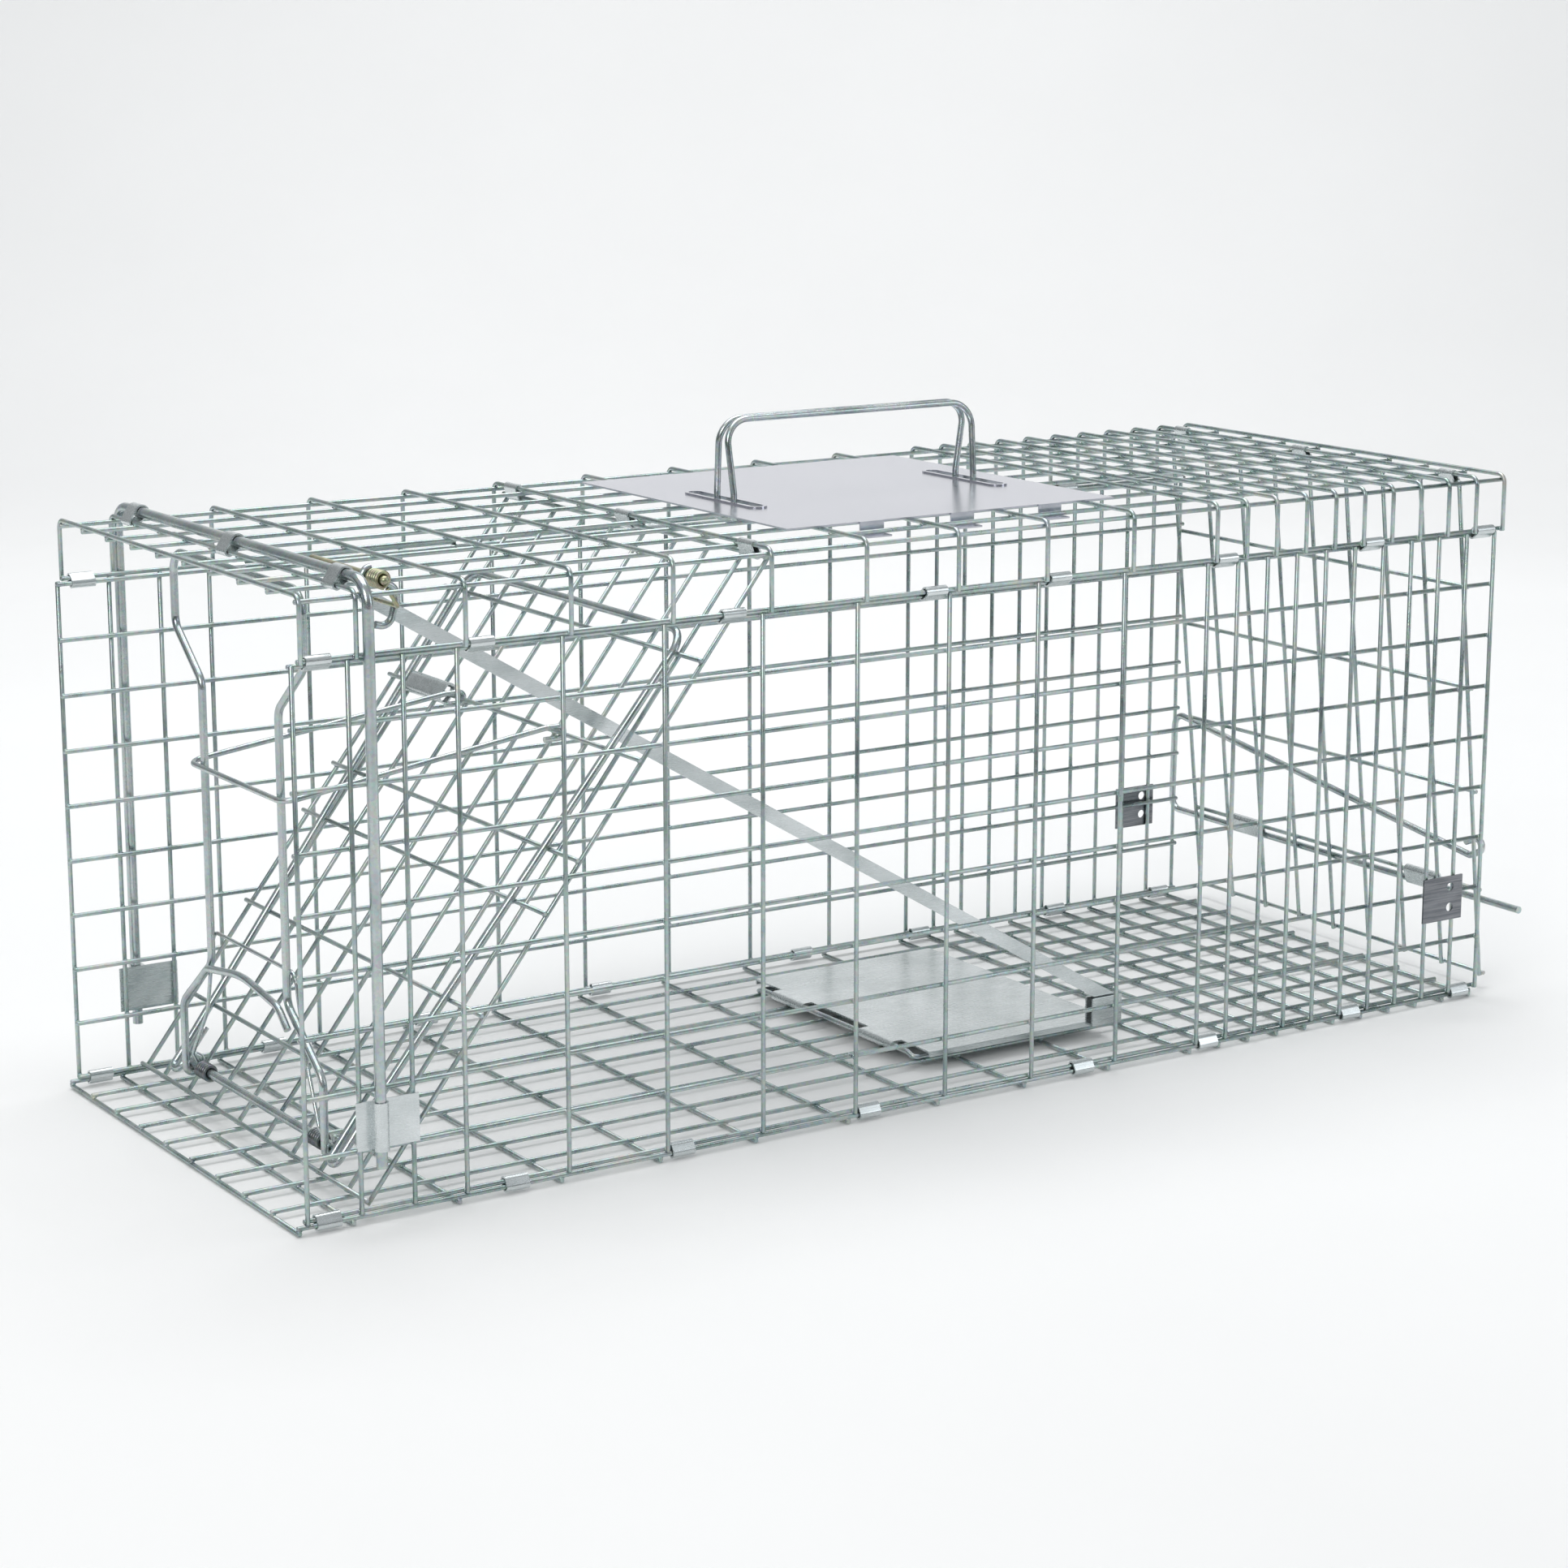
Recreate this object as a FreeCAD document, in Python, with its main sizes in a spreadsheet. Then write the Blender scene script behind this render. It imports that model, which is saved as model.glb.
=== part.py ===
import FreeCAD, Part
import Sketcher
import math
import os

# Live catch trap: a welded-wire box with a sloping sprung front door, a foot plate
# that trips it, a top guard with a carrying handle, and a locked rear door.
# Millimetres, +Z up. Row origin: on the ground, in the middle of the box.

doc = FreeCAD.newDocument("live_catch_trap")
sheet = doc.addObject("Spreadsheet::Sheet", "Sizes")

sizes = [
    ("wire_dia", 2.6), ("cage_length", 811.9), ("wide_pitch", 61.57), ("fine_pitch", 22.7),
    ("side_y", 151.0), ("side_pitch", 32.07), ("rib_pitch", 34.0), ("floor_back_set", -4.6),
    ("top_back_set", 3.9), ("top_z", 330.9), ("flange_y", 153.9), ("brace_dia", 6.0),
    ("brace_x", 40.0), ("brace_z", 336.0), ("brace_y", 157.0), ("clip_width", 14.0),
    ("clip_sheet", 1.0), ("door_half", 145.6), ("door_slope", 52.06), ("door_hinge_x", 283.0),
    ("door_hinge_z", 325.3), ("door_length", 400.5), ("frame_dia", 4.5), ("pivot_dia", 5.0),
    ("pivot_along", 385.5), ("pivot_half", 93.4), ("prop_top_z", 320.0), ("prop_half", 81.0),
    ("waist_half", 48.5), ("eye_y", 89.5), ("stay_dia", 4.2), ("bail_dia", 3.2),
    ("spring_dia", 2.2), ("latch_dia", 5.0), ("hook_dia", 4.0), ("latch_x", 58.0),
    ("latch_z", 332.1), ("link_y", -102.0), ("link_width", 8.0), ("link_sheet", 1.5),
    ("plate_front_x", 430.0), ("plate_depth", 134.0), ("plate_width", 188.0), ("plate_sheet", 1.2),
    ("guard_x", 431.5), ("guard_length", 227.0), ("guard_width", 224.0), ("guard_sheet", 1.0),
    ("slot_length", 74.0), ("slot_width", 8.0), ("handle_dia", 3.8), ("handle_z", 380.0),
    ("handle_pivot_z", 322.0), ("rear_hinge_x", 796.0), ("rear_hinge_z", 325.3),
    ("rear_tilt", 6.25), ("rear_length", 318.0), ("rear_half", 138.0), ("lock_dia", 4.5),
    ("lock_half", 172.0), ("bracket_width", 32.0), ("bracket_height", 28.0),
    ("bracket_sheet", 1.2), ("hole_dia", 5.6), ("origin_x", -413.01),
]
for row, (alias, value) in enumerate(sizes, start=1):
    sheet.set("A%d" % row, alias)
    sheet.set("B%d" % row, str(value))
    sheet.setAlias("B%d" % row, alias)
doc.recompute()


def size(alias):
    return float(sheet.get(alias))


V = FreeCAD.Vector
AXIS_Z = V(0, 0, 1)
WIRE = size("wire_dia")
GAP = 0.1
exported = []
count = {"made": 0}


def new(kind, name):
    count["made"] += 1
    return doc.addObject(kind, "%s_%d" % (name, count["made"]))


def finish(label, obj):
    """Names the sub-part and moves it to the row origin."""
    obj.Label = label
    shift = FreeCAD.Placement(V(size("origin_x"), 0, 0), FreeCAD.Rotation())
    obj.Placement = shift.multiply(obj.Placement)
    exported.append(obj)
    return obj


def group(label, members):
    whole = new("Part::Compound", "set")
    whole.Links = members
    return finish(label, whole)


def bar(start, end, dia):
    """A straight round wire whose radius follows the sheet."""
    along = end.sub(start)
    obj = new("Part::Cylinder", "bar")
    obj.setExpression("Radius", "Sizes.%s / 2" % dia)
    obj.Height = along.Length
    obj.Placement = FreeCAD.Placement(start, FreeCAD.Rotation(AXIS_Z, along))
    return obj


def rounded(points, radii):
    """A wire through the points, with each inner corner rounded."""
    edges = []
    here = points[0]
    for corner, radius, onward in zip(points[1:-1], radii, points[2:]):
        back = here.sub(corner).normalize()
        ahead = onward.sub(corner).normalize()
        half = back.getAngle(ahead) / 2
        reach = radius / math.tan(half)
        first = corner + back * reach
        last = corner + ahead * reach
        middle = (back + ahead).normalize()
        crown = corner + middle * (radius / math.sin(half) - radius)
        if here.distanceToPoint(first) > 1e-6:
            edges.append(Part.LineSegment(here, first).toShape())
        edges.append(Part.Arc(first, crown, last).toShape())
        here = last
    edges.append(Part.LineSegment(here, points[-1]).toShape())
    return edges


def swept(edges, dia, start=None, heading=None):
    """Sweeps a round section along a spine."""
    spine = new("Part::Feature", "spine")
    spine.Shape = Part.Wire(edges)
    first = edges[0]
    at = first.valueAt(first.FirstParameter)
    way = first.tangentAt(first.FirstParameter)
    ring = new("Part::Circle", "section")
    ring.setExpression("Radius", "Sizes.%s / 2" % dia)
    ring.Placement = FreeCAD.Placement(start or at, FreeCAD.Rotation(AXIS_Z, heading or way))
    sweep = new("Part::Sweep", "bent")
    sweep.Sections = [ring]
    sweep.Spine = (spine, ["Edge%d" % (i + 1) for i in range(len(edges))])
    sweep.Solid = True
    sweep.Frenet = False
    return sweep


def bent(points, radii, dia):
    if not isinstance(radii, (list, tuple)):
        radii = [radii] * (len(points) - 2)
    return swept(rounded(points, radii), dia)


def coil(centre, y_from, y_to, mean, turns, dia, start_angle=0.0):
    """A close-wound coil along Y."""
    helix = Part.makeHelix(abs(y_to - y_from) / turns, abs(y_to - y_from), mean)
    helix.rotate(V(0, 0, 0), AXIS_Z, start_angle)
    helix.rotate(V(0, 0, 0), V(1, 0, 0), -90)
    helix.translate(V(centre.x, min(y_from, y_to), centre.z))
    spine = new("Part::Feature", "helix")
    spine.Shape = helix
    first = helix.Edges[0]
    ring = new("Part::Circle", "section")
    ring.setExpression("Radius", "Sizes.%s / 2" % dia)
    way = first.tangentAt(first.FirstParameter)
    at = first.valueAt(first.FirstParameter)
    ring.Placement = FreeCAD.Placement(at, FreeCAD.Rotation(AXIS_Z, way))
    sweep = new("Part::Sweep", "coil")
    sweep.Sections = [ring]
    sweep.Spine = (spine, ["Edge%d" % (i + 1) for i in range(len(helix.Edges))])
    sweep.Solid = True
    sweep.Frenet = True
    return sweep


def belt(first, first_radius, second, second_radius, low, high, axis):
    """A solid whose outline wraps two circles; the outline lies across the axis."""
    span = second.sub(first)
    reach = span.Length
    side = axis.cross(span).normalize()
    ahead = V(span.x, span.y, span.z).normalize()
    lean = (first_radius - second_radius) / reach
    rise = math.sqrt(1 - lean * lean)
    up = ahead * lean + side * rise
    down = ahead * lean - side * rise
    a_up = first + up * first_radius
    a_down = first + down * first_radius
    b_up = second + up * second_radius
    b_down = second + down * second_radius
    back = first - ahead * first_radius
    front = second + ahead * second_radius
    outline = Part.Wire([
        Part.LineSegment(a_up, b_up).toShape(),
        Part.Arc(b_up, front, b_down).toShape(),
        Part.LineSegment(b_down, a_down).toShape(),
        Part.Arc(a_down, back, a_up).toShape(),
    ])
    face = Part.Face(outline)
    face.translate(axis * low)
    return face.extrude(axis * (high - low))


def feature(shape):
    obj = new("Part::Feature", "formed")
    obj.Shape = shape
    return obj


def clip(first, first_radius, second, second_radius, low, high, axis):
    """A sheet clip closed round two wires."""
    thick = size("clip_sheet")
    outer = belt(first, first_radius + thick, second, second_radius + thick, low, high, axis)
    inner = belt(first, first_radius, second, second_radius, low - 1, high + 1, axis)
    return feature(outer.cut(inner))


def plate_body(name, width, height, thick, pockets):
    """A flat sheet body in XY: a bound rectangle, padded, with bound slots cut through."""
    body = new("PartDesign::Body", name)
    doc.recompute()
    flat = [f for f in body.Origin.OriginFeatures if f.Role == "XY_Plane"][0]
    outline = new("Sketcher::SketchObject", name + "_outline")
    body.addObject(outline)
    outline.AttachmentSupport = [(flat, "")]
    outline.MapMode = "FlatFace"
    rectangle(outline, 0, 0, width, height)
    pad = new("PartDesign::Pad", name + "_pad")
    body.addObject(pad)
    pad.Profile = outline
    pad.setExpression("Length", "Sizes.%s" % thick)
    body.Tip = pad
    for x, y, wide, tall in pockets:
        cut = new("Sketcher::SketchObject", name + "_slot")
        body.addObject(cut)
        cut.AttachmentSupport = [(flat, "")]
        cut.MapMode = "FlatFace"
        rectangle(cut, x, y, wide, tall)
        pocket = new("PartDesign::Pocket", name + "_pocket")
        body.addObject(pocket)
        pocket.Profile = cut
        pocket.Type = "ThroughAll"
        pocket.Midplane = True
        body.Tip = pocket
    doc.recompute()
    return body


def rectangle(sketch, x, y, width, height):
    """A rectangle centred on (x, y), its two sides bound to the sheet."""
    w = size(width) / 2
    h = size(height) / 2
    corners = [V(x - w, y - h, 0), V(x + w, y - h, 0), V(x + w, y + h, 0), V(x - w, y + h, 0)]
    for i in range(4):
        sketch.addGeometry(Part.LineSegment(corners[i], corners[(i + 1) % 4]), False)
    for i in range(4):
        sketch.addConstraint(Sketcher.Constraint("Coincident", i, 2, (i + 1) % 4, 1))
    sketch.addConstraint(Sketcher.Constraint("Horizontal", 0))
    sketch.addConstraint(Sketcher.Constraint("Horizontal", 2))
    sketch.addConstraint(Sketcher.Constraint("Vertical", 1))
    sketch.addConstraint(Sketcher.Constraint("Vertical", 3))
    wide = sketch.addConstraint(Sketcher.Constraint("DistanceX", 0, 1, 0, 2, 2 * w))
    tall = sketch.addConstraint(Sketcher.Constraint("DistanceY", 1, 1, 1, 2, 2 * h))
    sketch.addConstraint(Sketcher.Constraint("DistanceX", -1, 1, 0, 1, x - w))
    sketch.addConstraint(Sketcher.Constraint("DistanceY", -1, 1, 0, 1, y - h))
    sketch.setExpression("Constraints[%d]" % wide, "Sizes.%s" % width)
    sketch.setExpression("Constraints[%d]" % tall, "Sizes.%s" % height)


# ---------------------------------------------------------------- wire spacing
pitch = size("wide_pitch")
halves = [0.0] + [(k + 0.5) * pitch for k in range(10)]
fine = [9.5 * pitch + (k + 1) * size("fine_pitch") for k in range(10)]
across = halves + fine
ribs = [(k - 4.5) * size("rib_pitch") for k in range(1, 9)]
length = size("cage_length")
side_y = size("side_y")
inner_y = side_y - WIRE
floor_x = size("floor_back_set")
top_x = size("top_back_set")
top_z = size("top_z")
rib_z = top_z - WIRE
flange_y = size("flange_y")
edge_y = 150.6
rail_z = 6.5
top_rail_z = rail_z + 9 * size("side_pitch")

# ---------------------------------------------------------------- floor
members = []
for x in across:
    members.append(bar(V(x + floor_x, -151.3, WIRE / 2), V(x + floor_x, 151.3, WIRE / 2), "wire_dia"))
for y in [-150.0] + ribs + [150.0]:
    z = 1.5 * WIRE
    start = V(floor_x - 1.3, y, z)
    members.append(bar(start, V(length + floor_x + 1.3, y, z), "wire_dia"))
group("floor_panel", members)

# ---------------------------------------------------------------- sides
for name, side in (("near_side_panel", -1), ("far_side_panel", 1)):
    members = []
    for x in sorted(across + [pitch]):
        members.append(bar(V(x, side * side_y, 5.3), V(x, side * side_y, 296.3), "wire_dia"))
    for k in range(10):
        z = rail_z + k * size("side_pitch")
        members.append(bar(V(-1.3, side * inner_y, z), V(length + 1.3, side * inner_y, z), "wire_dia"))
    group(name, members)

# ---------------------------------------------------------------- top with turned-down edges
members = []
corner = 5.0
for x in across:
    at = x + top_x
    hoop = [V(at, -flange_y, 296.4), V(at, -flange_y, top_z), V(at, flange_y, top_z), V(at, flange_y, 296.4)]
    members.append(bent(hoop, corner, "wire_dia"))
for y in ribs:
    members.append(bar(V(top_x - 1.3, y, rib_z), V(length + top_x + 1.3, y, rib_z), "wire_dia"))
for side in (-1, 1):
    for y, z in ((edge_y, 327.6), (flange_y - WIRE, 297.7)):
        start = V(top_x - 1.3, side * y, z)
        members.append(bar(start, V(length + top_x + 1.3, side * y, z), "wire_dia"))
group("top_panel", members)

# ---------------------------------------------------------------- edge clips
width = size("clip_width")
AXIS_X = V(1, 0, 0)
AXIS_Y = V(0, 1, 0)
seams = (
    ("floor_clips", (12.0, 122.0, 225.0, 348.0, 500.0, 594.0, 707.4, 798.2),
     (inner_y, rail_z), (150.0, 3.9)),
    ("top_clips", (14.0, 106.0, 258.0, 390.0, 476.0, 598.2, 711.7, 802.5),
     (inner_y, top_rail_z), (151.3, 297.7)),
)
for name, places, upper, lower in seams:
    for word, side in (("near", -1), ("far", 1)):
        members = []
        for x in places:
            a = V(0, side * upper[0], upper[1])
            b = V(0, side * lower[0], lower[1])
            members.append(clip(a, 1.9, b, 1.9, x - width / 2, x + width / 2, AXIS_X))
        group("%s_%s" % (word, name), members)

# ---------------------------------------------------------------- front brace
brace_x = size("brace_x")
brace_y = size("brace_y")
brace_z = size("brace_z")
legs = [V(brace_x, -brace_y, 30.5), V(brace_x, -brace_y, brace_z), V(brace_x, brace_y, brace_z),
        V(brace_x, brace_y, 30.5)]
finish("brace_rod", bent(legs, 14.0, "brace_dia"))
members = []
front_wire = V(0.5 * pitch + top_x, 0, top_z)
for y in (-128.0, 0.0, 127.0):
    members.append(clip(V(brace_x, 0, brace_z), 3.4, front_wire, 1.7, y - 6, y + 6, AXIS_Y))
group("brace_strap_clips", members)
for word, side in (("near", -1), ("far", 1)):
    base = new("Part::Box", "bracket_sheet")
    base.Length = 36
    base.Width = 1
    base.Height = 26
    low = 152.4 if side > 0 else -153.4
    base.Placement = FreeCAD.Placement(V(28, low, 40), FreeCAD.Rotation())
    round_off = belt(V(brace_x, side * brace_y, 0), 4.2, V(brace_x, side * 153.0, 0), 4.2, 40, 66, AXIS_Z)
    bore = Part.makeCylinder(3.1, 40, V(brace_x, side * brace_y, 33))
    behind = Part.makeBox(20, 10, 40, V(brace_x - 10, 142.4 if side > 0 else -152.4, 33))
    saddle = feature(round_off.cut(bore).cut(behind))
    fused = new("Part::Fuse", "bracket")
    fused.Base = base
    fused.Tool = saddle
    finish("%s_brace_bracket" % word, fused)

# ---------------------------------------------------------------- front door
slope = math.radians(size("door_slope"))
hinge = V(size("door_hinge_x"), 0, size("door_hinge_z"))
down = V(-math.cos(slope), 0, -math.sin(slope))
out = V(-math.sin(slope), 0, math.cos(slope))


def on_door(s, y, n):
    return hinge + down * s + out * n + V(0, y, 0)


door_half = size("door_half")
door_rows = (0.0, 66.6, 129.4, 192.2, 225.2, 288.0, 350.8, size("door_length"))
members = []
for s in door_rows:
    members.append(bar(on_door(s, -door_half, 0), on_door(s, door_half, 0), "wire_dia"))
for y in [-143.0] + ribs + [143.0]:
    members.append(bar(on_door(-1.5, y, -WIRE), on_door(size("door_length") + 1.5, y, -WIRE), "wire_dia"))
group("front_door_mesh", members)
members = []
top_wire = V(4.5 * pitch + top_x, 0, top_z)
for y in (-130.0, 0.0, 130.0):
    members.append(clip(top_wire, 1.45, hinge, 1.65, y - 7, y + 7, AXIS_Y))
group("front_door_hinge_clips", members)

frame_n = WIRE / 2 + size("frame_dia") / 2
half_frame = [(364.0, 97.0), (393.0, 97.0), (393.0, 105.5), (372.0, 105.5), (54.4, 122.0)]
points = [on_door(s, -y, frame_n) for s, y in half_frame]
points += [on_door(s, y, frame_n) for s, y in reversed(half_frame)]
finish("lock_frame", bent(points, [4.0, 4.0, 30.0, 14.0, 14.0, 30.0, 4.0, 4.0], "frame_dia"))

pivot_n = -WIRE / 2 + size("pivot_dia") / 2
pivot = on_door(size("pivot_along"), 0, pivot_n)
pivot_half = size("pivot_half")
finish("pivot_rod", bar(pivot - AXIS_Y * pivot_half, pivot + AXIS_Y * pivot_half, "pivot_dia"))

sleeve_axis = on_door(129.4, 0, 0.9)
outer = belt(sleeve_axis + down * 3, 3.6, sleeve_axis - down * 3, 3.6, 70, 114.5, AXIS_Y)
inner = belt(sleeve_axis + down * 3, 2.7, sleeve_axis - down * 3, 2.7, 69, 115.5, AXIS_Y)
under = Part.makeBox(40, 60, 20, V(-20, 75, -20))
under.rotate(V(0, 0, 0), AXIS_Y, size("door_slope") * -1)
under.translate(on_door(129.4, 0, -1.25))
finish("catch_sleeve", feature(outer.cut(inner).cut(under)))

# ---------------------------------------------------------------- prop that locks the door
eye = size("pivot_dia") / 2 + GAP + size("frame_dia") / 2
prop_x = pivot.x - eye
prop_half = size("prop_half")
waist = size("waist_half")
eye_y = size("eye_y")
prop_top = size("prop_top_z")
profile = [(eye_y, 60.0), (waist, 92.0), (waist, 252.0), (prop_half, 279.0), (prop_half, prop_top)]


def eye_edges(side):
    """The eye of one prop leg, from its free end round the rod to the leg."""
    y = side * eye_y
    c = V(pivot.x, y, pivot.z)
    top = c + V(0, 0, eye)
    rear = c + V(eye, 0, 0)
    under_side = c - V(0, 0, eye)
    front = c - V(eye, 0, 0)
    first = Part.Arc(top, c + V(eye, 0, eye).normalize() * eye, rear).toShape()
    second = Part.Arc(rear, c + V(eye, 0, -eye).normalize() * eye, under_side).toShape()
    third = Part.Arc(under_side, c + V(-eye, 0, -eye).normalize() * eye, front).toShape()
    return [first, second, third], front


def reversed_edges(edges):
    turned = []
    for edge in reversed(edges):
        a = edge.valueAt(edge.LastParameter)
        b = edge.valueAt((edge.FirstParameter + edge.LastParameter) / 2)
        c = edge.valueAt(edge.FirstParameter)
        turned.append(Part.Arc(a, b, c).toShape())
    return turned


near_eye, near_foot = eye_edges(-1)
far_eye, far_foot = eye_edges(1)
points = [near_foot]
points += [V(prop_x, -y, z) for y, z in profile]
points += [V(prop_x, y, z) for y, z in reversed(profile)]
points += [far_foot]
radii = [12.0, 10.0, 10.0, 10.0, 12.0, 12.0, 10.0, 10.0, 10.0, 12.0]
finish("prop_frame", swept(near_eye + rounded(points, radii) + reversed_edges(far_eye), "frame_dia"))

stay_x = prop_x - size("frame_dia") / 2 - size("stay_dia") / 2
points = [V(stay_x, -57, 80), V(stay_x, -46, 90), V(stay_x, 0, 97), V(stay_x, 46, 90), V(stay_x, 57, 80)]
finish("prop_stay", bent(points, [14.0, 90.0, 14.0], "stay_dia"))

bail_dia = size("bail_dia")
hook_at = on_door(129.4, 0, 0)
hook_reach = WIRE / 2 + 0.35 + bail_dia / 2
bail_x = prop_x - size("frame_dia") / 2 - bail_dia / 2 - 0.4
bail_z = 205.0
bail_y = 61.0
arm_start = hook_at + V(0, 0, hook_reach)
tip = V(bail_x, 0, bail_z)


def bail_hook(side):
    y = V(0, side * (bail_y - 3), 0)
    c = hook_at + y
    above = c + V(0, 0, hook_reach)
    rear = c + V(hook_reach, 0, 0)
    below = c - V(0, 0, hook_reach)
    curl = Part.Arc(below, c + V(1, 0, -1).normalize() * hook_reach, rear).toShape()
    crown = Part.Arc(rear, c + V(1, 0, 1).normalize() * hook_reach, above).toShape()
    tail = below + V(-9, 0, 0)
    return [Part.LineSegment(tail, below).toShape(), curl, crown], above


near_hook, near_start = bail_hook(-1)
far_hook, far_start = bail_hook(1)
points = [near_start, near_start - V(8, 0, 0), V(tip.x, -bail_y, tip.z), V(tip.x, bail_y, tip.z),
          far_start - V(8, 0, 0), far_start]
run = rounded(points, [30.0, 9.0, 9.0, 30.0])
turned = reversed_edges(far_hook[1:])
tail_end = far_hook[0]
turned.append(Part.LineSegment(tail_end.valueAt(tail_end.LastParameter), tail_end.valueAt(0)).toShape())
finish("mid_bail", swept(near_hook + run + turned, "bail_dia"))

# ---------------------------------------------------------------- prop spring
spring = size("spring_dia")
mean = size("pivot_dia") / 2 + 0.25 + spring / 2
members = []
for side in (-1, 1):
    members.append(coil(pivot, side * 66, side * 79, mean, 5.5, "spring_dia"))
group("prop_spring_coils", members)
leg_x = prop_x + size("frame_dia") / 2 + spring / 2
points = [V(pivot.x - 1.2, -81.3, pivot.z + mean), V(pivot.x - mean, -81.3, pivot.z + 9), V(leg_x, -64, 60),
          V(leg_x, -52, 109), V(leg_x, 52, 109), V(leg_x, 64, 60), V(pivot.x - mean, 81.3, pivot.z + 9),
          V(pivot.x - 1.2, 81.3, pivot.z + mean)]
finish("prop_spring_bail", bent(points, [2.5, 20.0, 8.0, 8.0, 20.0, 2.5], "spring_dia"))

# ---------------------------------------------------------------- top latch
latch = V(size("latch_x"), 0, size("latch_z"))
shaft = bar(V(latch.x, -140, latch.z), V(latch.x, -58, latch.z), "latch_dia")
dome = new("Part::Sphere", "dome")
dome.setExpression("Radius", "Sizes.latch_dia / 2")
dome.Placement = FreeCAD.Placement(V(latch.x, -140, latch.z), FreeCAD.Rotation())
joined = new("Part::Fuse", "latch_shaft")
joined.Base = shaft
joined.Tool = dome
finish("latch_rod", joined)

ring = size("latch_dia") / 2 + GAP + size("hook_dia") / 2
hook_y = -124.6
c = V(latch.x, hook_y, latch.z)
loop = [
    Part.Arc(c + V(0, 0, ring), c + V(-1, 0, 1).normalize() * ring, c + V(-ring, 0, 0)).toShape(),
    Part.Arc(c + V(-ring, 0, 0), c + V(-1, 0, -1).normalize() * ring, c + V(0, 0, -ring)).toShape(),
]
points = [c + V(0, 0, -ring), c + V(17, 0, -ring), c + V(10, 0, -27), c + V(2, 0, -25)]
finish("latch_hook", swept(loop + rounded(points, [7.0, 6.0]), "hook_dia"))

pin = V(66.0, 0, 318.0)
members = [coil(V(latch.x, 0, latch.z), -139.0, -128.6, 3.85, 4.5, "spring_dia", 90.0)]
points = [V(latch.x + 1.0, -141.0, latch.z - 4.0), V(pin.x - 1.0, -141.0, pin.z), V(pin.x, -137.0, pin.z),
          V(pin.x, -94.0, pin.z)]
members.append(bent(points, [3.0, 3.0], "spring_dia"))
group("latch_spring", members)

# ---------------------------------------------------------------- trigger link
rear_pin = V(560.0, 0, 25.0)
link_y = size("link_y")
half_link = size("link_sheet") / 2
link_radius = size("link_width") / 2
lie = rear_pin.sub(pin).normalize()
strip = belt(pin, link_radius, rear_pin, link_radius, link_y - half_link, link_y + half_link, AXIS_Y)
slot = belt(pin - lie * 2.0, 1.8, pin + lie * 2.0, 1.8, link_y - 9, link_y + 9, AXIS_Y)
rear_bore = Part.makeCylinder(1.7, 20, rear_pin + V(0, link_y - 10, 0), AXIS_Y)
finish("trigger_link", feature(strip.cut(slot).cut(rear_bore)))

# ---------------------------------------------------------------- foot plate
pivot_z = 8.9
hinge_x = 425.0
tread_z = pivot_z + 1.7
foot = [V(441, -85, 6.8), V(hinge_x, -85, 6.8), V(hinge_x, -79, pivot_z), V(hinge_x, 79, pivot_z),
        V(hinge_x, 85, 6.8), V(441, 85, 6.8)]
finish("trigger_pivot_wire", bent(foot, [3.0, 3.0, 3.0, 3.0], "bail_dia"))
tread = plate_body("tread", "plate_depth", "plate_width", "plate_sheet", [])
tread.Placement = FreeCAD.Placement(
    V(size("plate_front_x") + size("plate_depth") / 2, 0, tread_z), FreeCAD.Rotation())
pieces = []
for side in (-1, 1):
    low = 31.0 if side > 0 else -65.0
    roll = Part.makeCylinder(2.9, 34, V(hinge_x, low, pivot_z), AXIS_Y)
    tongue = Part.makeBox(size("plate_front_x") - hinge_x + 1, 34, 1.2, V(hinge_x, low, tread_z))
    hollow = Part.makeCylinder(1.7, 36, V(hinge_x, low - 1, pivot_z), AXIS_Y)
    pieces.append(roll.fuse(tongue).cut(hollow))
    lip_corner = V(size("plate_front_x"), side * 94.0 - 0.6, tread_z - 2.2)
    lip = Part.makeBox(size("plate_depth"), 1.2, 3.4, lip_corner)
    pieces.append(lip)
joined = new("Part::MultiFuse", "trigger_sheet")
joined.Shapes = [tread] + [feature(p) for p in pieces]
finish("trigger_plate", joined)
ears = []
for y in (link_y - 3.6, link_y + 2.4):
    ears.append(Part.makeBox(22, 1.2, 17.0, V(542, y, tread_z + 1.2)))
base = Part.makeBox(22, 7.2, 1.2, V(542, link_y - 3.6, tread_z + 1.2))
stud = Part.makeCylinder(1.6, 10, rear_pin + V(0, link_y - 5, 0), AXIS_Y)
finish("trigger_link_lug", feature(base.fuse(ears).fuse(stud)))

# ---------------------------------------------------------------- guard plate and handle
guard_z = top_z + WIRE / 2 + 0.1
guard = plate_body("guard", "guard_length", "guard_width", "guard_sheet",
                   [(-82.5, 0, "slot_width", "slot_length"), (87.5, 0, "slot_width", "slot_length")])
guard.Placement = FreeCAD.Placement(V(size("guard_x"), 0, guard_z), FreeCAD.Rotation())
pieces = []
for x in (349.0, 519.0):
    rim = belt(V(x, -33, 0), 6.2, V(x, 33, 0), 6.2, guard_z + 0.5, guard_z + 2.0, AXIS_Z)
    hollow = belt(V(x, -33, 0), 4.0, V(x, 33, 0), 4.0, guard_z - 1, guard_z + 3, AXIS_Z)
    pieces.append(rim.cut(hollow))
for x in (374.0, 436.0, 498.0):
    for side in (-1, 1):
        wall = Part.makeBox(16, 1, 8.2, V(x - 8, 112.0 if side > 0 else -113.0, 326.1 - 1.0))
        shelf = Part.makeBox(16, 9, 1, V(x - 8, 112.0 if side > 0 else -121.0, 325.1))
        pieces.append(wall.fuse(shelf))
joined = new("Part::MultiFuse", "guard_sheet")
joined.Shapes = [guard] + [feature(p) for p in pieces]
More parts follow.
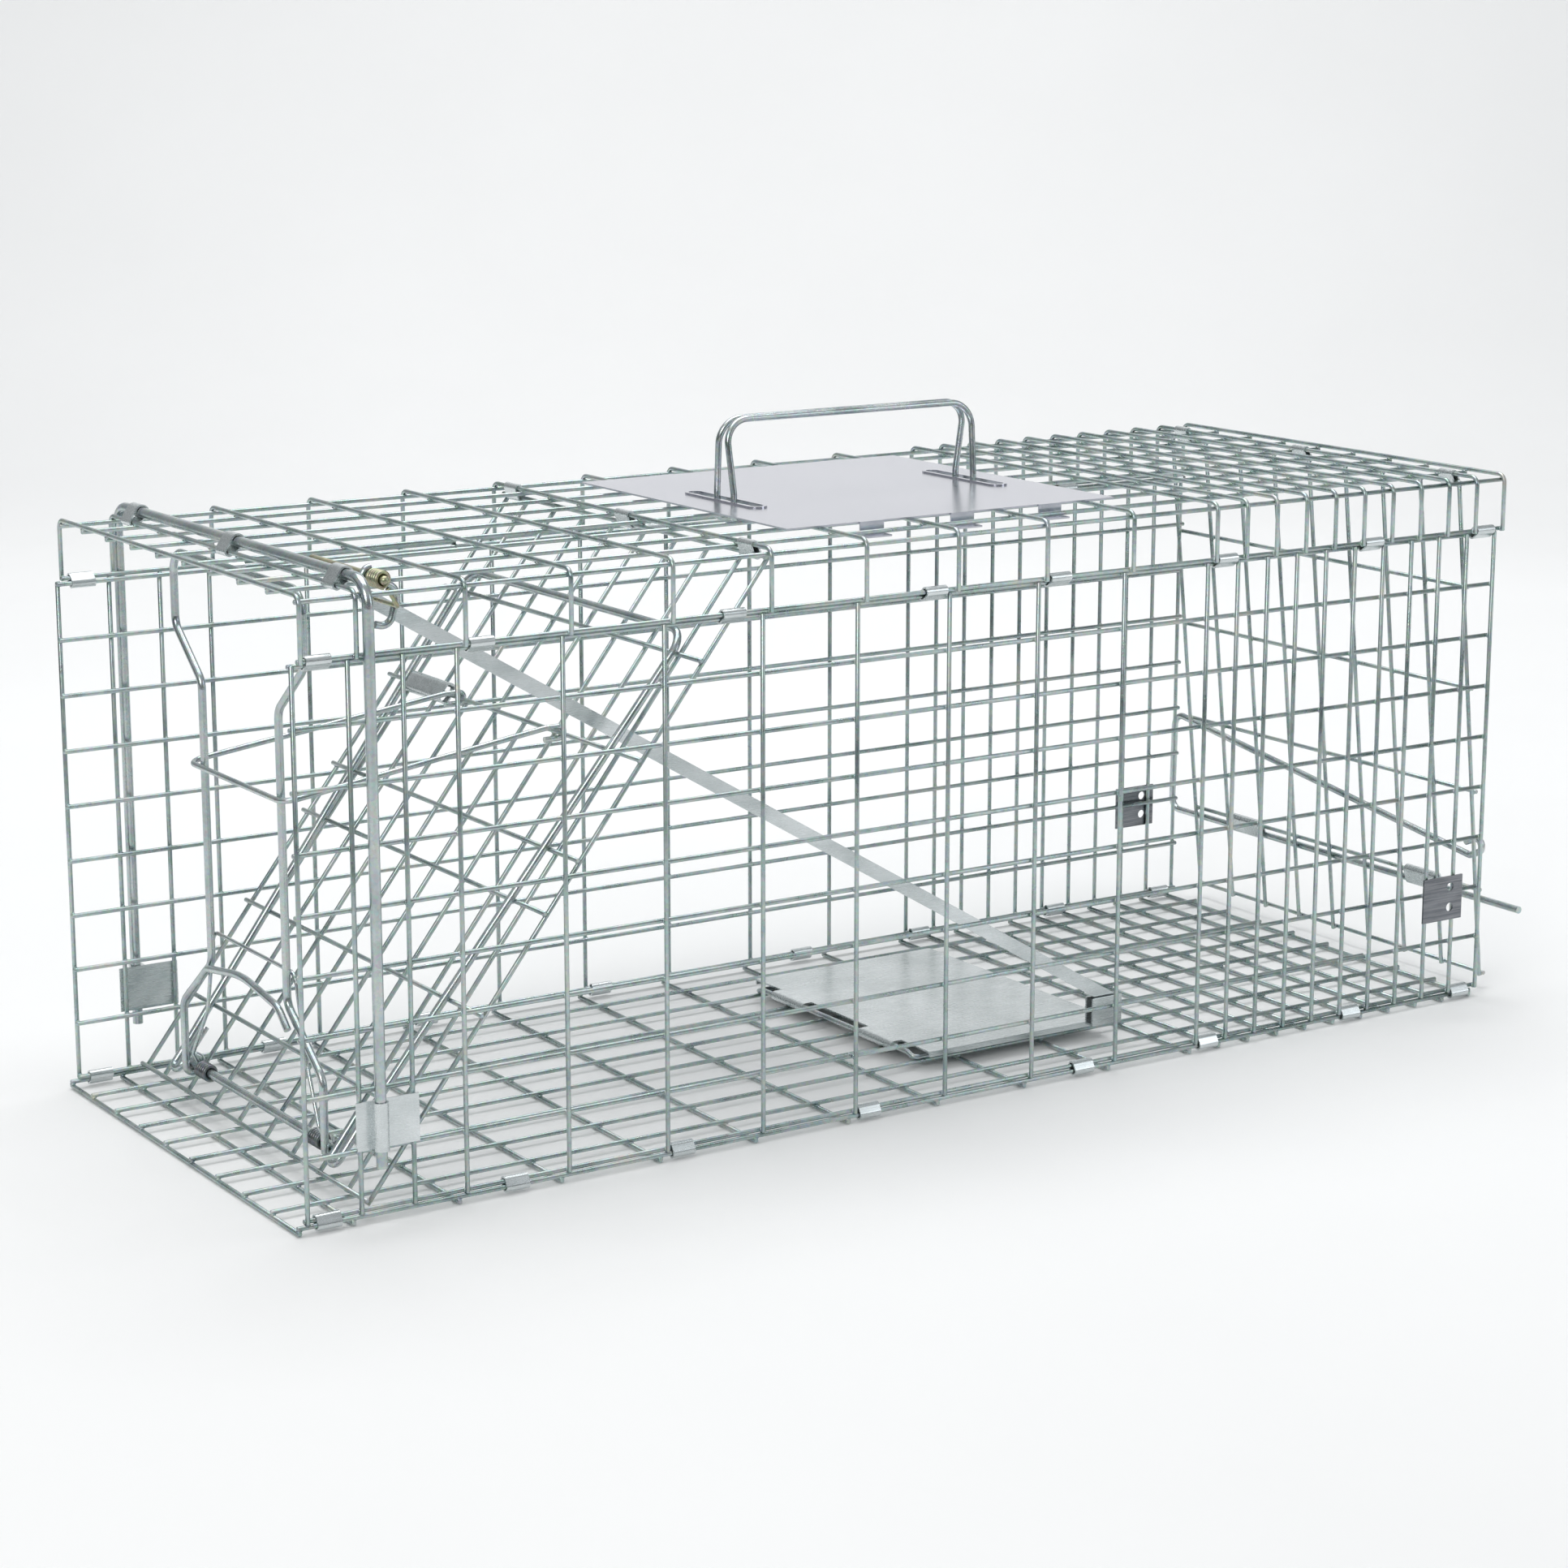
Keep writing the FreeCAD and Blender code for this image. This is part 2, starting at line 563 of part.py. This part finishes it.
finish("guard_plate", joined)

grip_z = size("handle_z")
low_z = size("handle_pivot_z")
points = [V(358, 0, low_z), V(358, -9, low_z), V(349, -9, low_z), V(349, -9, 338), V(347, -3.2, grip_z),
          V(521, -3.2, grip_z), V(519, -9, 338), V(519, -9, low_z), V(510, -9, low_z), V(510, 9, low_z),
          V(519, 9, low_z), V(519, 9, 338), V(521, 3.2, grip_z), V(347, 3.2, grip_z), V(349, 9, 338),
          V(349, 9, low_z), V(358, 9, low_z), V(358, 0.2, low_z)]
radii = [3.0, 3.0, 12.0, 14.0, 14.0, 12.0, 3.0, 3.0, 3.0, 3.0, 12.0, 14.0, 14.0, 12.0, 3.0, 3.0]
finish("handle", bent(points, radii, "handle_dia"))

# ---------------------------------------------------------------- rear door
tilt = math.radians(size("rear_tilt"))
rear_hinge = V(size("rear_hinge_x"), 0, size("rear_hinge_z"))
rear_down = V(math.sin(tilt), 0, -math.cos(tilt))
rear_out = V(math.cos(tilt), 0, math.sin(tilt))


def on_rear(s, y, n):
    return rear_hinge + rear_down * s + rear_out * n + V(0, y, 0)


rear_half = size("rear_half")
members = []
for s in (0.0, 65.2, 130.3, 197.5, 262.4, size("rear_length")):
    members.append(bar(on_rear(s, -rear_half - 2, 0), on_rear(s, rear_half + 2, 0), "wire_dia"))
for k in range(-4, 5):
    y = k * rear_half / 4
    members.append(bar(on_rear(-1.5, y, -WIRE), on_rear(size("rear_length") + 1.5, y, -WIRE), "wire_dia"))
group("rear_door_mesh", members)
members = []
rear_wire = V(fine[8] + top_x, 0, top_z)
for y in (-127.5, 8.5, 127.5):
    members.append(clip(rear_wire, 1.45, rear_hinge, 1.65, y - 6, y + 6, AXIS_Y))
group("rear_door_hinge_clips", members)
wire_at = on_rear(262.4, 0, 0)
lock_at = on_rear(262.4 + 6.6, 0, 1.4)
members = []
for low in (-100.5, 72.5):
    outer = belt(wire_at, 3.3, lock_at, 3.3, low, low + 28, AXIS_Y)
    inner = belt(wire_at, 2.35, lock_at, 2.35, low - 1, low + 29, AXIS_Y)
    members.append(feature(outer.cut(inner)))
group("rear_door_sleeves", members)

lock_half = size("lock_half")
upper = V(lock_at.x + 1.0, 0, 0)
points = [V(lock_at.x, -lock_half, lock_at.z), V(lock_at.x, lock_half - 2.25, lock_at.z),
          V(upper.x, lock_half - 2.25, 126), V(upper.x, -126, 84),
          V(upper.x, -137, 89), V(upper.x, -134, 97), V(upper.x, -122, 92)]
finish("rear_lock_rod", bent(points, [8.0, 8.0, 4.0, 4.0, 4.0], "lock_dia"))

# ---------------------------------------------------------------- lock brackets on the sides
for word, side in (("near", -1), ("far", 1)):
    body = plate_body(word + "_lug", "bracket_width", "bracket_height", "bracket_sheet", [])
    turn = FreeCAD.Rotation(AXIS_X, 90)
    face_y = -side_y - 1.4 if side < 0 else side_y + 1.4 + size("bracket_sheet")
    body.Placement = FreeCAD.Placement(V(779, face_y, 68), turn)
    whole = body
    for z in (75.0, 62.0):
        drill = new("Part::Cylinder", "bore")
        drill.setExpression("Radius", "Sizes.hole_dia / 2")
        drill.Height = 12
        drill.Placement = FreeCAD.Placement(V(785, side * 147.0, z), FreeCAD.Rotation(AXIS_Z, V(0, side, 0)))
        cut = new("Part::Cut", "drilled")
        cut.Base = whole
        cut.Tool = drill
        whole = cut
    finish("%s_lock_bracket" % word, whole)

# ---------------------------------------------------------------- checks and files
doc.recompute()
for obj in doc.Objects:
    if "Invalid" in obj.State or "Error" in obj.State:
        raise RuntimeError("%s (%s) did not recompute" % (obj.Name, obj.Label))
os.makedirs("parts", exist_ok=True)
for obj in exported:
    if obj.Shape.isNull() or not obj.Shape.isValid():
        raise RuntimeError("%s has no valid shape" % obj.Label)
    obj.Shape.exportStep("parts/%s.step" % obj.Label)
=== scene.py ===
import math
import bmesh
import bpy
from mathutils import Matrix, Vector


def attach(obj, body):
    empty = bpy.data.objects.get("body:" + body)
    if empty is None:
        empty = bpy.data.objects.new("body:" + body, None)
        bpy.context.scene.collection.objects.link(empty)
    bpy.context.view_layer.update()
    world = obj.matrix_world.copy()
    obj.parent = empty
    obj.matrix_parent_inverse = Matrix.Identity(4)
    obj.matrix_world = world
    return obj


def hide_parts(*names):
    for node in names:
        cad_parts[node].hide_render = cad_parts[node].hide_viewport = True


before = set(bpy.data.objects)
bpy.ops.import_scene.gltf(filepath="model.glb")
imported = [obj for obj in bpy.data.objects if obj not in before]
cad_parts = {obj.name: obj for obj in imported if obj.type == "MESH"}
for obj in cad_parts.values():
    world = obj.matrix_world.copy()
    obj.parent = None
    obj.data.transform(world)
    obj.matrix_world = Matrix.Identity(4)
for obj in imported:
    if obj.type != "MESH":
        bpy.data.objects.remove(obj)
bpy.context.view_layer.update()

MM = 0.001
ORIGIN_X = -413.01
WIRE = 1.3          # radius of the mesh wire, mm
THICK = 2 * WIRE
CUT_EDGE = 0.28     # rounding of a cut wire end, as a share of its radius
WELD_WIDE = 1.75    # half the width of a weld swelling, mm
WELD_HIGH = 0.95    # half its height, mm


def at(x, y, z):
    """A point of the design, in mm, as metres in the row frame."""
    return Vector(((x + ORIGIN_X) * MM, y * MM, z * MM))


# ------------------------------------------------------------------ materials
class Nodes:
    """Short names for building one node material."""

    def __init__(self, name):
        self.material = bpy.data.materials.new(name)
        self.material.use_nodes = True
        self.tree = self.material.node_tree
        self.shader = self.tree.nodes["Principled BSDF"]

    def add(self, kind, **values):
        node = self.tree.nodes.new(kind)
        for key, value in values.items():
            setattr(node, key, value)
        return node

    def link(self, output, target):
        self.tree.links.new(output, target)

    def noise(self, vector, scale, detail=4.0, rough=0.55):
        node = self.add("ShaderNodeTexNoise")
        node.inputs["Scale"].default_value = scale
        node.inputs["Detail"].default_value = detail
        node.inputs["Roughness"].default_value = rough
        self.link(vector, node.inputs["Vector"])
        return node.outputs["Fac"]

    def cells(self, vector, scale):
        node = self.add("ShaderNodeTexVoronoi")
        node.inputs["Scale"].default_value = scale
        self.link(vector, node.inputs["Vector"])
        return node.outputs["Color"]

    def stretch(self, vector, x, y, z):
        node = self.add("ShaderNodeMapping")
        node.inputs["Scale"].default_value = (x, y, z)
        self.link(vector, node.inputs["Vector"])
        return node.outputs["Vector"]

    def ramp(self, value, stops):
        node = self.add("ShaderNodeValToRGB")
        band = node.color_ramp
        while len(band.elements) < len(stops):
            band.elements.new(0.5)
        for element, (place, colour) in zip(band.elements, stops):
            element.position = place
            element.color = (*colour, 1.0)
        self.link(value, node.inputs["Fac"])
        return node.outputs["Color"]

    def span(self, value, low, high, from_low=0.3, from_high=0.7):
        node = self.add("ShaderNodeMapRange")
        node.inputs["From Min"].default_value = from_low
        node.inputs["From Max"].default_value = from_high
        node.inputs["To Min"].default_value = low
        node.inputs["To Max"].default_value = high
        self.link(value, node.inputs["Value"])
        return node.outputs["Result"]

    def mix(self, factor, first, second, mode="MIX"):
        node = self.add("ShaderNodeMix", data_type="RGBA", blend_type=mode)
        if isinstance(factor, float):
            node.inputs["Factor"].default_value = factor
        else:
            self.link(factor, node.inputs["Factor"])
        for socket, value in ((node.inputs[6], first), (node.inputs[7], second)):
            if isinstance(value, tuple):
                socket.default_value = (*value, 1.0)
            else:
                self.link(value, socket)
        return node.outputs[2]

    def bump(self, height, strength, distance, under=None):
        node = self.add("ShaderNodeBump")
        node.inputs["Strength"].default_value = strength
        node.inputs["Distance"].default_value = distance
        self.link(height, node.inputs["Height"])
        if under is not None:
            self.link(under, node.inputs["Normal"])
        return node.outputs["Normal"]


def zinc_wire(name, bright, dull, warm, rough_low, rough_high):
    """Drawn and zinc-plated wire: crystal mottling, dull and bright patches."""
    n = Nodes(name)
    place = n.add("ShaderNodeTexCoord").outputs["Object"]
    patches = n.noise(place, 38.0, 5.0, 0.6)
    spangle = n.cells(place, 620.0)
    fine = n.noise(place, 2600.0, 3.0, 0.6)
    tone = n.ramp(patches, [(0.32, dull), (0.55, bright), (0.74, warm)])
    grain = n.mix(0.10, tone, spangle, "OVERLAY")
    specks = n.span(n.noise(place, 420.0, 6.0, 0.7), 0.0, 0.55, 0.62, 0.74)
    colour = n.mix(specks, grain, (0.30, 0.32, 0.31))
    n.link(colour, n.shader.inputs["Base Color"])
    n.shader.inputs["Metallic"].default_value = 0.93
    n.link(n.span(patches, rough_low, rough_high), n.shader.inputs["Roughness"])
    coarse = n.bump(n.noise(place, 300.0, 4.0, 0.5), 0.25, 0.0003)
    n.link(n.bump(fine, 0.18, 0.0001, coarse), n.shader.inputs["Normal"])
    return n.material


def zinc_sheet(name, bright, dull, rough_low, rough_high, lines=(30.0, 900.0, 900.0), dent=0.22):
    """Rolled sheet: fine rolling lines one way, handling scratches, soft unevenness."""
    n = Nodes(name)
    place = n.add("ShaderNodeTexCoord").outputs["Object"]
    patches = n.noise(place, 22.0, 4.0, 0.6)
    rolled = n.noise(n.stretch(place, *lines), 1.0, 6.0, 0.65)
    scratch = n.noise(n.stretch(place, 900.0, 70.0, 300.0), 1.0, 8.0, 0.8)
    tone = n.ramp(patches, [(0.3, dull), (0.7, bright)])
    streak = n.mix(n.span(rolled, 0.0, 0.22), tone, (0.92, 0.94, 0.95))
    worn = n.mix(n.span(scratch, 0.0, 0.6, 0.66, 0.78), streak, (0.36, 0.38, 0.38))
    n.link(worn, n.shader.inputs["Base Color"])
    n.shader.inputs["Metallic"].default_value = 0.9
    n.link(n.span(rolled, rough_low, rough_high), n.shader.inputs["Roughness"])
    wave = n.bump(n.noise(place, 26.0, 2.0, 0.4), dent, 0.0012)
    n.link(n.bump(rolled, 0.12, 0.0001, wave), n.shader.inputs["Normal"])
    return n.material


WIRE_MAT = zinc_wire("zinc_wire_finish", (0.47, 0.55, 0.545), (0.30, 0.375, 0.37),
                     (0.55, 0.56, 0.52), 0.22, 0.40)
ROD_MAT = zinc_wire("zinc_rod_finish", (0.52, 0.58, 0.585), (0.35, 0.41, 0.415),
                    (0.60, 0.60, 0.58), 0.16, 0.32)
OLIVE_MAT = zinc_wire("olive_zinc_finish", (0.45, 0.44, 0.30), (0.28, 0.29, 0.20),
                      (0.50, 0.46, 0.30), 0.22, 0.40)
COIL_MAT = zinc_wire("dark_spring_finish", (0.22, 0.24, 0.25), (0.10, 0.11, 0.12),
                     (0.30, 0.30, 0.29), 0.22, 0.40)
SHEET_MAT = zinc_sheet("zinc_sheet_finish", (0.72, 0.76, 0.77), (0.50, 0.545, 0.55), 0.18, 0.34)
GUARD_MAT = zinc_sheet("guard_sheet_finish", (0.60, 0.60, 0.665), (0.56, 0.565, 0.63), 0.20, 0.26,
                       (900.0, 24.0, 900.0), 0.10)
DARK_MAT = zinc_sheet("dark_plate_finish", (0.13, 0.14, 0.16), (0.05, 0.055, 0.065), 0.14, 0.26)


# ------------------------------------------------------------------ wire meshes
def ring_of(bm, centre, side, up, radius, count):
    verts = []
    for k in range(count):
        turn = 2 * math.pi * k / count
        spot = centre + side * (radius * math.cos(turn)) + up * (radius * math.sin(turn))
        verts.append(bm.verts.new(spot))
    return verts


def tube(bm, path, radius, count=12):
    """A round wire along a path, its cut ends slightly rounded over."""
    radius *= MM
    first = (path[1] - path[0]).normalized()
    side = first.orthogonal().normalized()
    rings = []
    edge = radius * CUT_EDGE
    cut = radius * (1 - CUT_EDGE)
    stations = [(path[0], cut), (path[0] + first * edge, radius)]
    stations += [(point, radius) for point in path[1:-1]]
    last = (path[-1] - path[-2]).normalized()
    stations += [(path[-1] - last * edge, radius), (path[-1], cut)]
    for i, (centre, size) in enumerate(stations):
        before = stations[max(i - 1, 0)][0]
        after = stations[min(i + 1, len(stations) - 1)][0]
        ahead = (after - before).normalized()
        side = (side - ahead * side.dot(ahead)).normalized()
        rings.append(ring_of(bm, centre, side, ahead.cross(side), size, count))
    for a, b in zip(rings, rings[1:]):
        for k in range(count):
            bm.faces.new((a[k], a[(k + 1) % count], b[(k + 1) % count], b[k])).smooth = True
    bm.faces.new(list(reversed(rings[0])))
    bm.faces.new(rings[-1])


def rounded(points, radius, steps=7):
    """The path through the points with its inner corners rounded."""
    radius *= MM
    path = [points[0]]
    for before, corner, after in zip(points, points[1:], points[2:]):
        back = (before - corner).normalized()
        ahead = (after - corner).normalized()
        half = back.angle(ahead) / 2
        centre = corner + (back + ahead).normalized() * (radius / math.sin(half))
        start = (corner + back * (radius / math.tan(half)) - centre).normalized()
        end = (corner + ahead * (radius / math.tan(half)) - centre).normalized()
        for k in range(steps + 1):
            path.append(centre + start.slerp(end, k / steps) * radius)
    path.append(points[-1])
    return path


def nugget(bm, centre, normal):
    """The small squeezed swelling of a resistance weld between two wires."""
    turn = normal.to_track_quat("Z", "Y").to_matrix().to_4x4()
    size = Matrix.Diagonal((WELD_WIDE * MM, WELD_WIDE * MM, WELD_HIGH * MM, 1.0))
    place = Matrix.Translation(centre) @ turn @ size
    made = bmesh.ops.create_icosphere(bm, subdivisions=2, radius=1.0, matrix=place)
    for vert in made["verts"]:
        for face in vert.link_faces:
            face.smooth = True


def panel(name, runs, welds, body, node):
    """One welded panel: its wires and its welds, standing for the CAD panel."""
    bm = bmesh.new()
    for path in runs:
        tube(bm, path, WIRE)
    for centre, normal in welds:
        nugget(bm, centre, normal)
    mesh = bpy.data.meshes.new(name)
    bm.to_mesh(mesh)
    bm.free()
    obj = bpy.data.objects.new(name, mesh)
    bpy.context.scene.collection.objects.link(obj)
    mesh.materials.append(WIRE_MAT)
    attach(obj, body)
    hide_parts(node)


PITCH = 61.57       # wide pitch of the cross wires, mm
FINE = 22.7         # their fine pitch towards the rear
RIB_PITCH = 34.0
RAIL_PITCH = 32.07
LENGTH = 811.9
FLOOR_BACK = 4.6    # the floor's wires stand this far ahead of the side uprights
TOP_BACK = 3.9      # the roof's hoops stand this far behind them
SIDE_Y = 151.0
FLANGE_Y = 153.9
FLANGE_FOOT = 296.4
TOP_Z = 330.9
HINGE_Z = 325.3
DOOR_HINGE_X = 283.0
REAR_HINGE_X = 796.0
UP = Vector((0, 0, 1))
SIDEWAYS = Vector((0, 1, 0))
across = [0.0] + [(k + 0.5) * PITCH for k in range(10)]
across += [9.5 * PITCH + (k + 1) * FINE for k in range(10)]
ribs = [(k - 4.5) * RIB_PITCH for k in range(1, 9)]

# floor
floor_ribs = [-150.0] + ribs + [150.0]
runs = [[at(x - FLOOR_BACK, -151.3, WIRE), at(x - FLOOR_BACK, 151.3, WIRE)] for x in across]
runs += [[at(-5.9, y, 3 * WIRE), at(LENGTH - 3.3, y, 3 * WIRE)] for y in floor_ribs]
welds = [(at(x - FLOOR_BACK, y, THICK), UP) for x in across for y in floor_ribs]
panel("floor_mesh", runs, welds, "cage", "floor_panel")

# sides
rails = [6.5 + k * RAIL_PITCH for k in range(10)]
uprights = sorted(across + [PITCH])
for word, side in (("near", -1), ("far", 1)):
    rail_y = side * (SIDE_Y - THICK)
    runs = [[at(x, side * SIDE_Y, 5.3), at(x, side * SIDE_Y, 296.3)] for x in uprights]
    runs += [[at(-WIRE, rail_y, z), at(LENGTH + WIRE, rail_y, z)] for z in rails]
    welds = [(at(x, side * (SIDE_Y - WIRE), z), SIDEWAYS) for x in uprights for z in rails]
    panel(word + "_side_mesh", runs, welds, "cage", word + "_side_panel")

# top
runs = []
for x in across:
    corners = [(-FLANGE_Y, FLANGE_FOOT), (-FLANGE_Y, TOP_Z), (FLANGE_Y, TOP_Z), (FLANGE_Y, FLANGE_FOOT)]
    runs.append(rounded([at(x + TOP_BACK, y, z) for y, z in corners], 5.0))
rows = [(y, TOP_Z - THICK) for y in ribs]
rows += [(y * s, z) for s in (-1, 1) for y, z in ((150.6, 327.6), (151.3, 297.7))]
runs += [[at(2.6, y, z), at(LENGTH + 5.2, y, z)] for y, z in rows]
welds = [(at(x + TOP_BACK, y, TOP_Z - WIRE), UP) for x in across for y in ribs]
welds += [(at(x + TOP_BACK, s * (FLANGE_Y - WIRE), 297.7), SIDEWAYS) for x in across for s in (-1, 1)]
panel("top_mesh", runs, welds, "cage", "top_panel")

# front door
slope = math.radians(52.06)


def on_door(s, y, n):
    """A point s down the front door from its hinge, y across it and n out of it."""
    x = DOOR_HINGE_X - math.cos(slope) * s - math.sin(slope) * n
    return at(x, y, HINGE_Z - math.sin(slope) * s + math.cos(slope) * n)


door_rows = (0.0, 66.6, 129.4, 192.2, 225.2, 288.0, 350.8, 400.5)
door_ribs = [-143.0] + ribs + [143.0]
door_out = Vector((-math.sin(slope), 0, math.cos(slope)))
runs = [[on_door(s, -145.6, 0), on_door(s, 145.6, 0)] for s in door_rows]
runs += [[on_door(-1.5, y, -THICK), on_door(402.0, y, -THICK)] for y in door_ribs]
welds = [(on_door(s, y, -WIRE), door_out) for s in door_rows for y in door_ribs]
panel("front_door_wires", runs, welds, "front_door", "front_door_mesh")

# rear door
tilt = math.radians(6.25)


def on_rear(s, y, n):
    """A point s down the rear door from its hinge, y across it and n out of it."""
    x = REAR_HINGE_X + math.sin(tilt) * s + math.cos(tilt) * n
    return at(x, y, HINGE_Z - math.cos(tilt) * s + math.sin(tilt) * n)


rear_rows = (0.0, 65.2, 130.3, 197.5, 262.4, 318.0)
rear_ribs = [k * 34.5 for k in range(-4, 5)]
rear_out = Vector((math.cos(tilt), 0, math.sin(tilt)))
runs = [[on_rear(s, -140.0, 0), on_rear(s, 140.0, 0)] for s in rear_rows]
runs += [[on_rear(-1.5, y, -THICK), on_rear(319.5, y, -THICK)] for y in rear_ribs]
welds = [(on_rear(s, y, -WIRE), rear_out) for s in rear_rows for y in rear_ribs]
panel("rear_door_wires", runs, welds, "rear_door", "rear_door_mesh")

# ------------------------------------------------------------------ CAD pieces that stay
finishes = {
    ROD_MAT: ["brace_rod", "lock_frame", "pivot_rod", "prop_frame", "prop_stay", "mid_bail",
              "prop_spring_bail", "latch_hook", "trigger_pivot_wire", "handle", "rear_lock_rod"],
    COIL_MAT: ["prop_spring_coils"],
    OLIVE_MAT: ["latch_rod", "latch_spring"],
    SHEET_MAT: ["near_floor_clips", "far_floor_clips", "near_top_clips", "far_top_clips",
                "brace_strap_clips", "near_brace_bracket", "far_brace_bracket",
                "front_door_hinge_clips", "catch_sleeve", "trigger_link", "trigger_plate",
                "trigger_link_lug", "rear_door_hinge_clips", "rear_door_sleeves"],
    GUARD_MAT: ["guard_plate"],
    DARK_MAT: ["near_lock_bracket", "far_lock_bracket"],
}
for material, names in finishes.items():
    for name in names:
        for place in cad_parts[name].material_slots:
            place.material = material


# ------------------------------------------------------------------ studio
def mesh_object(name, verts, faces):
    mesh = bpy.data.meshes.new(name)
    mesh.from_pydata(verts, [], faces)
    obj = bpy.data.objects.new(name, mesh)
    bpy.context.scene.collection.objects.link(obj)
    return obj


# a floor that curves up into a backdrop
turn = Matrix.Rotation(math.radians(-33.0), 3, "Z")
BEND_AT = 2.2
BEND = 1.2
BEND_STEPS = 12
section = [(-4.0, 0.0), (BEND_AT, 0.0)]
for step in range(1, BEND_STEPS + 1):
    angle = step * math.pi / (2 * BEND_STEPS)
    section.append((BEND_AT + BEND * math.sin(angle), BEND - BEND * math.cos(angle)))
section.append((BEND_AT + BEND, 5.0))
verts = [turn @ Vector((x, y, z - 0.0005)) for y, z in section for x in (-7.0, 7.0)]
faces = [(2 * i, 2 * i + 1, 2 * i + 3, 2 * i + 2) for i in range(len(section) - 1)]
floor = mesh_object("studio_floor", verts, faces)
for face in floor.data.polygons:
    face.use_smooth = True
paper = Nodes("paper")
paper_at = paper.add("ShaderNodeTexCoord").outputs["Object"]
paper_tones = [(0.3, (0.90, 0.90, 0.90)), (0.7, (0.93, 0.93, 0.93))]
paper_tone = paper.ramp(paper.noise(paper_at, 1.5), paper_tones)
paper.link(paper_tone, paper.shader.inputs["Base Color"])
paper.shader.inputs["Roughness"].default_value = 0.75
floor.data.materials.append(paper.material)

world = bpy.data.worlds.new("studio")
bpy.context.scene.world = world
world.use_nodes = True
sky = world.node_tree.nodes["Background"]
sky.inputs["Strength"].default_value = 0.50
where = world.node_tree.nodes.new("ShaderNodeTexCoord")
parts = world.node_tree.nodes.new("ShaderNodeSeparateXYZ")
room = world.node_tree.nodes.new("ShaderNodeValToRGB")
room.color_ramp.elements[0].position = 0.02
room.color_ramp.elements[0].color = (0.10, 0.12, 0.125, 1.0)
room.color_ramp.elements[1].position = 0.55
room.color_ramp.elements[1].color = (0.95, 0.98, 1.0, 1.0)
world.node_tree.links.new(where.outputs["Generated"], parts.inputs["Vector"])
world.node_tree.links.new(parts.outputs["Z"], room.inputs["Fac"])
world.node_tree.links.new(room.outputs["Color"], sky.inputs["Color"])


def softbox(name, place, aim, width, height, power, colour=(1.0, 1.0, 1.0)):
    light = bpy.data.lights.new(name, "AREA")
    light.shape = "RECTANGLE"
    light.size = width
    light.size_y = height
    light.energy = power
    light.color = colour
    obj = bpy.data.objects.new(name, light)
    obj.location = place
    obj.rotation_euler = (Vector(aim) - Vector(place)).to_track_quat("-Z", "Y").to_euler()
    bpy.context.scene.collection.objects.link(obj)


softbox("overhead", (0.0, 0.2, 2.6), (0.0, 0.0, 0.1), 2.6, 1.8, 32.0)
softbox("key", (-2.2, -1.6, 1.7), (0.0, 0.0, 0.15), 1.2, 1.2, 21.0, (1.0, 0.98, 0.95))
softbox("fill", (1.9, -2.2, 1.1), (0.1, 0.0, 0.15), 1.0, 1.4, 9.0, (0.94, 0.97, 1.0))
softbox("backdrop_wash", (0.6, 1.2, 3.0), (1.6, 2.6, 0.8), 2.4, 1.0, 34.0)

# ------------------------------------------------------------------ camera
camera = bpy.data.cameras.new("camera")
camera.lens = 82.2
camera.sensor_width = 36.0
camera.clip_end = 50.0
eye = bpy.data.objects.new("camera", camera)
eye.location = (-1.159, -1.737, 0.626)
eye.rotation_euler = Vector((0.534, 0.817, -0.219)).to_track_quat("-Z", "Y").to_euler()
bpy.context.scene.collection.objects.link(eye)
bpy.context.scene.camera = eye
bpy.context.scene.view_settings.view_transform = "Standard"
